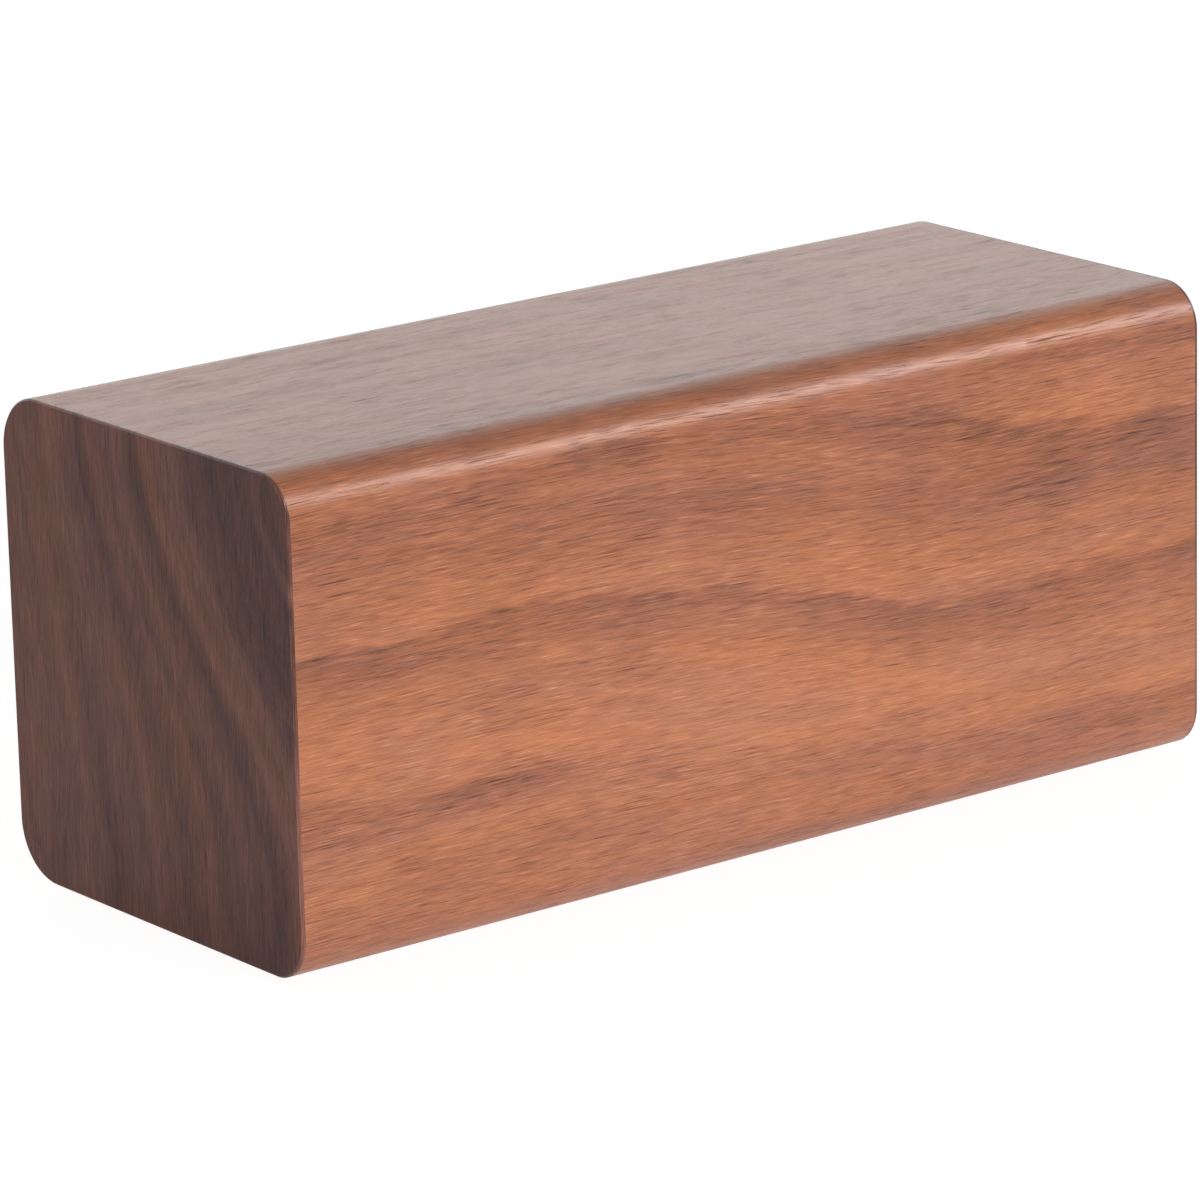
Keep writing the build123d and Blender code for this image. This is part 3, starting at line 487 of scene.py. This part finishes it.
# Growth streaks of the front. Each is darkest along a line and fades above and below it: the line's points,
# in mm from the left end and above the bottom, how far it fades up and down, and its strength along it.
growth_streaks = [
    (
        [(0, 66), (50, 65), (80, 62.5), (100, 60.5), (110, 59.3), (118, 57), (125, 54.6), (137, 52.2),
         (150, 51.2), (162, 50.8)],
        (3.6, 12.0),
        [(0, 0), (60, 0.05), (80, 0.2), (105, 0.4), (125, 0.54), (150, 0.56), (162, 0.54)],
    ),
    (
        [(0, 62), (22, 62), (41, 63.8), (53, 65), (66, 63), (90, 61)],
        (2.0, 6.0),
        [(0, 0.2), (41, 0.24), (53, 0.38), (66, 0.22), (84, 0), (162, 0)],
    ),
    (
        [(0, 55), (31, 55.4), (51, 57), (61, 56), (81, 54), (101, 51.2), (121, 48), (141, 45.5), (162, 44)],
        (4.0, 10.5),
        [(0, 0.16), (40, 0.3), (60, 0.38), (81, 0.42), (105, 0.42), (125, 0.22), (162, 0.14)],
    ),
    (
        [(0, 43.6), (21, 43.8), (31, 44.9), (41, 45), (56, 43.7), (71, 41.2), (81, 39.2), (91, 36.8),
         (101, 34), (111, 31.8), (125, 29), (162, 26)],
        (1.6, 9.5),
        [(0, 0.56), (31, 0.42), (60, 0.5), (75, 0.36), (101, 0.46), (111, 0.34), (128, 0.12), (145, 0),
         (162, 0)],
    ),
    (
        [(0, 32), (100, 31), (131, 31), (146, 31.2), (162, 31.4)],
        (3.0, 13.5),
        [(0, 0), (90, 0), (112, 0.16), (136, 0.42), (162, 0.52)],
    ),
    (
        [(0, 24), (15, 22.6), (26, 21.8), (41, 21.4), (60, 22), (162, 22)],
        (2.0, 5.0),
        [(0, 0.32), (15, 0.28), (30, 0.45), (41, 0.36), (56, 0), (162, 0)],
    ),
    (
        [(0, 19.5), (21, 18.8), (36, 19), (162, 19)],
        (1.4, 3.0),
        [(0, 0.3), (21, 0.2), (38, 0), (162, 0)],
    ),
    (
        [(0, 13), (16, 12.6), (41, 12), (70, 11.5), (90, 12), (110, 11.6), (140, 10.2), (162, 9.6)],
        (3.0, 7.0),
        [(0, 0.08), (16, 0.16), (41, 0.2), (70, 0.14), (90, 0.12), (110, 0.2), (140, 0.26), (162, 0.26)],
    ),
    (
        [(0, 66), (120, 65.4), (140, 64.2), (156, 63.6), (162, 63.4)],
        (1.2, 2.2),
        [(0, 0), (112, 0), (130, 0.26), (162, 0.26)],
    ),
]

# A curve node runs from 0 to 1, so its points are shares of the block's length and of this height.
length = (cad_box[1][0] - cad_box[0][0]) * millimetres
curve_height = 80.0
from_left = along / length + 0.5


def drawn(points, tallest=1.0):
    """A curve through points along the block's length, given as (mm from the left end, height)."""
    shares = [(reach / length, height / tallest) for reach, height in points]
    return shade.node("ShaderNodeFloatCurve", {"curve": shares}, {1: from_left}) * tallest


# Painted shade: the upper front, its rounded top edge and the front of the top are darkened in the colour.
brow_painted_shade = across.step(52.0, 66.0) * (1.0 - across.step(74.0, 84.0)) * 0.17
# Painted shade: the lowest strip of the front and its rounded bottom edge are darkened in the colour.
foot_painted_shade = (1.0 - across.step(2.0, 12.0)) * 0.22
darker = brow_painted_shade + foot_painted_shade
for path, (fade_up, fade_down), strengths in growth_streaks:
    above = across + feather * 5.0 + wobble * 2.0 - drawn(path, curve_height)
    streak = (1.0 - above.step(0.0, fade_up)) * (1.0 - (-above).step(0.0, fade_down))
    core = 1.0 - abs(above).step(0.0, 1.3)
    darker = drawn(strengths) * (streak * 0.74 + core * 0.2) + darker
walnut_palette = [
    (0.0, (0.664, 0.252, 0.116)),
    (0.35, (0.513, 0.187, 0.090)),
    (0.7, (0.362, 0.133, 0.070)),
    (1.0, (0.24, 0.095, 0.056)),
]
veneer_finish(shade, shader, along, across, level, grain_line, darker, walnut_palette)
wrap.data.materials.append(walnut)
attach(wrap, "case")
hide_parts("veneer_wrap")

# Walnut veneer on the ends.
# A darker sheet with upright grain, whose growth streaks sweep towards the front lower down. It is trimmed
# flush with the wrap and its edge is broken with abrasive paper.
end_walnut, shade, shader = new_finish("dark_end_walnut")
x, y, z = place_mm(shade)
from_back = millimetres * wrap_high.y - y
from_top = millimetres * wrap_high.z - z
lean = from_top.step(0.0, 62.0)
sweep = (from_back - lean * 10.0) / (lean * 0.667 + 1.0)
drift = shade.noise(shade.stack(from_top * 0.03, sweep * 0.10, 6.6), 2.0) - 0.5
feather = shade.noise(shade.stack(from_top * 0.10, from_back * 1.1, 4.4), 3.0) - 0.5
level = sweep + drift * 4.0
ripple = shade.noise(shade.stack(from_top * 0.016, level * 0.42, 12.5), 2.0) - 0.5
streak_level = level + feather * 4.0
front_darkness = streak_level.step(39.0, 46.0) * 0.45
# Painted shade: the end is darkened towards its bottom.
foot_painted_shade = from_top.step(48.0, 70.0) * 0.2
darker = front_darkness + ripple * 0.6 + foot_painted_shade

# Streaks of the end: mm from the back, half the width in mm, and the strength.
end_streaks = [(8.0, 3.0, 0.16), (19.5, 3.5, 0.30), (25.0, 2.5, 0.18), (31.5, 4.0, 0.42)]
for place, width, strength in end_streaks:
    darker = darker + (1.0 - abs(streak_level - place).step(0.0, width)) * strength
end_palette = [
    (0.0, (0.40, 0.156, 0.100)),
    (0.4, (0.248, 0.094, 0.063)),
    (0.75, (0.142, 0.057, 0.042)),
    (1.0, (0.080, 0.035, 0.030)),
]
grain_line = from_back + drift * 3.0 + x * 1.7
veneer_finish(shade, shader, from_top, from_back, level, grain_line, darker, end_palette)
dress(end_walnut, "left_end_veneer", "right_end_veneer")

# Control panel in the back.
# A black moulded panel let into the back, held by a screw at each end, with push buttons, a power socket,
# a sound sensor's hole and the buzzer's holes.
panel_plastic = moulded("panel_moulding", (0.022, 0.021, 0.020), roughness=0.48, grain=0.22, depth=0.5)
button_plastic = moulded("button_moulding", (0.045, 0.044, 0.043), roughness=0.34, grain=0.3, depth=0.12)
black_steel = plated("blackened_steel", (0.07, 0.07, 0.07), roughness=0.36, line=0.2)
nickel = plated("nickel_plate", (0.68, 0.66, 0.61), roughness=0.24, line=0.2)
dress(panel_plastic, "control_panel")
dress(button_plastic, "set_button", "up_button", "down_button")
dress(chip_plastic, "set_switch_plunger", "up_switch_plunger", "down_switch_plunger")
dress(black_steel, "control_panel_screws")
dress(nickel, "usb_socket_shell")

# Battery bay underneath.
# A black moulded box let into the bottom and screwed in, with a hinged door. Behind the door lie plain
# wrapped cells between plated contacts and coil springs.
dress(panel_plastic, "battery_box", "battery_door")
dress(black_steel, "battery_box_screws")
dress(nickel, "contact_plates", "negative_springs")
cell_finish, shade, shader = new_finish("wrapped_cell")
x, y, z = place_mm(shade)
scuff = shade.noise(shade.stack(x * 0.4, y * 2.0, z * 2.0), 3.0)
sleeve_end = 21.2
ends = abs(x).step(sleeve_end, sleeve_end + 0.1)
sleeve_green, bare_steel = (0.05, 0.17, 0.11, 1.0), (0.66, 0.65, 0.62, 1.0)
feed(
    shader,
    Base_Color=shade.mix(ends, sleeve_green, bare_steel),
    Metallic=ends,
    Roughness=scuff * 0.2 + 0.2,
)
dress(cell_finish, "battery_cells")

# Feet.
# Four black rubber pads stuck under the corners.
foot_rubber = moulded("foot_rubber", (0.018, 0.018, 0.018), roughness=0.7, grain=0.6, depth=0.4)
dress(foot_rubber, "rubber_feet")

# Studio: a plain white floor and surround, a broad light before the clock, a small one above to its right
# that shows in the lacquer of the rounded edge, and weak ones behind and beneath. The floor is clear from
# beneath. A painted glow on the strip of it before the clock, where the light falls, shows only in the
# lacquer.
floor_mesh = bpy.data.meshes.new("floor")
floor_half = 4.0
floor_corners = floor_half * np.array([(-1, -1, 0), (1, -1, 0), (1, 1, 0), (-1, 1, 0)])
floor_mesh.from_pydata(floor_corners, [], [(0, 1, 2, 3)])
floor = bpy.data.objects.new("floor", floor_mesh)
bpy.context.collection.objects.link(floor)
floor_finish, shade, shader = new_finish("white_floor")


def ray_kinds(shade):
    """Two values: 1 for rays straight from the camera, and 1 for rays off or through gloss."""
    seen, off_gloss, through_gloss = (
        shade.node("ShaderNodeLightPath", None, None, kind)
        for kind in ("Is Camera Ray", "Is Glossy Ray", "Is Transmission Ray")
    )
    return seen, off_gloss + through_gloss


seen, mirrored = ray_kinds(shade)
ahead = -place_mm(shade)[1]
# Painted light: a brighter strip of floor before the clock, seen only by gloss rays.
painted_lit_strip = ahead.step(20.0, 35.0) * (1.0 - ahead.step(50.0, 150.0))
glow = seen * 0.94 + mirrored * (painted_lit_strip * 0.4 + 0.12)
floor_lit, floor_seen = (0.80, 0.80, 0.80, 1.0), (0.20, 0.20, 0.20, 1.0)
feed(
    shader,
    Base_Color=shade.mix(seen, floor_lit, floor_seen),
    Roughness=0.9,
    Specular_IOR_Level=0.0,
    Emission_Color=shade.stack(glow, glow, glow),
    Emission_Strength=1.0,
)
from_beneath = shade.node("ShaderNodeNewGeometry", None, None, "Backfacing")
shadow_ray = shade.node("ShaderNodeLightPath", None, None, "Is Shadow Ray")
passing = shade.math("MAXIMUM", from_beneath, shadow_ray)
white = Shade(shade.tree, shader.outputs[0])
clear = shade.node("ShaderNodeBsdfTransparent")
surface = shade.node("ShaderNodeMixShader", None, {0: passing, 1: white, 2: clear})
shade.tree.links.new(surface.socket, shade.tree.nodes["Material Output"].inputs["Surface"])
floor_mesh.materials.append(floor_finish)

world = bpy.data.worlds.new("studio")
bpy.context.scene.world = world
world.use_nodes = True
shade = Shade(world.node_tree)
direction = shade.node("ShaderNodeTexCoord", None, None, "Generated")
rise = shade.node("ShaderNodeSeparateXYZ", None, {0: direction}, 2)
rearward = shade.node("ShaderNodeSeparateXYZ", None, {0: direction}, 1)
seen, mirrored = ray_kinds(shade)
wall_brightness, sky_brightness = 1.28, 0.2
walls = (1.0 - rise.step(0.62, 0.86)) * (rearward.step(-0.30, 0.30) * 0.8 + 0.2)
sky = rise.step(-0.02, 0.02)
strength = seen + mirrored * walls * wall_brightness + (1.0 - seen - mirrored) * sky * sky_brightness
background = world.node_tree.nodes["Background"]
background.inputs["Color"].default_value = (1.0, 1.0, 1.0, 1.0)
world.node_tree.links.new(strength.socket, background.inputs["Strength"])


def soft_light(name, towards, distance, width, height, brightness, mirrored=False):
    """An area lamp that faces the clock from a direction. Brightness is its surface's, where 1 is white.

    It either lights the surfaces or, mirrored, only shows in their gloss.
    """
    lamp = bpy.data.lights.new(name, "AREA")
    lamp.shape = "RECTANGLE"
    lamp.size, lamp.size_y = width, height
    lamp.energy = brightness * np.pi * width * height
    lamp_object = bpy.data.objects.new(name, lamp)
    aim = Vector(towards).normalized()
    lamp_object.location = aim * distance + Vector((0, 0, middle))
    lamp_object.rotation_euler = aim.to_track_quat("Z", "Y").to_euler()
    lamp_object.visible_camera = False
    lamp_object.visible_glossy, lamp_object.visible_diffuse = mirrored, not mirrored
    bpy.context.collection.objects.link(lamp_object)


soft_light("front_light", (-0.10, -0.97, 0.12), distance=1.6, width=1.6, height=1.0, brightness=4.4)
soft_light(
    "upper_light", (0.61, -0.59, 0.525), distance=1.2, width=0.5, height=0.4, brightness=6.6, mirrored=True
)
soft_light("back_light", (0.55, 0.80, 0.22), distance=1.6, width=1.2, height=0.8, brightness=2.4)
soft_light("under_light", (0.15, 0.55, -0.82), distance=1.2, width=0.5, height=0.5, brightness=6.0)

# Camera.
# It stands left of the front and above, at the photograph's place, with a long lens and no blur. Place, turn
# and lens were fitted to the block's edges.
lens = bpy.data.cameras.new("camera")
lens.sensor_width = 36.0
lens.lens = 202.524
camera = bpy.data.objects.new("camera", lens)
camera.location = (-0.569199, -0.734639, 0.293087)
camera.rotation_euler = np.radians((74.3366, 1.3511, -37.9813))
bpy.context.collection.objects.link(camera)
bpy.context.scene.camera = camera
bpy.context.scene.view_settings.view_transform = "Standard"
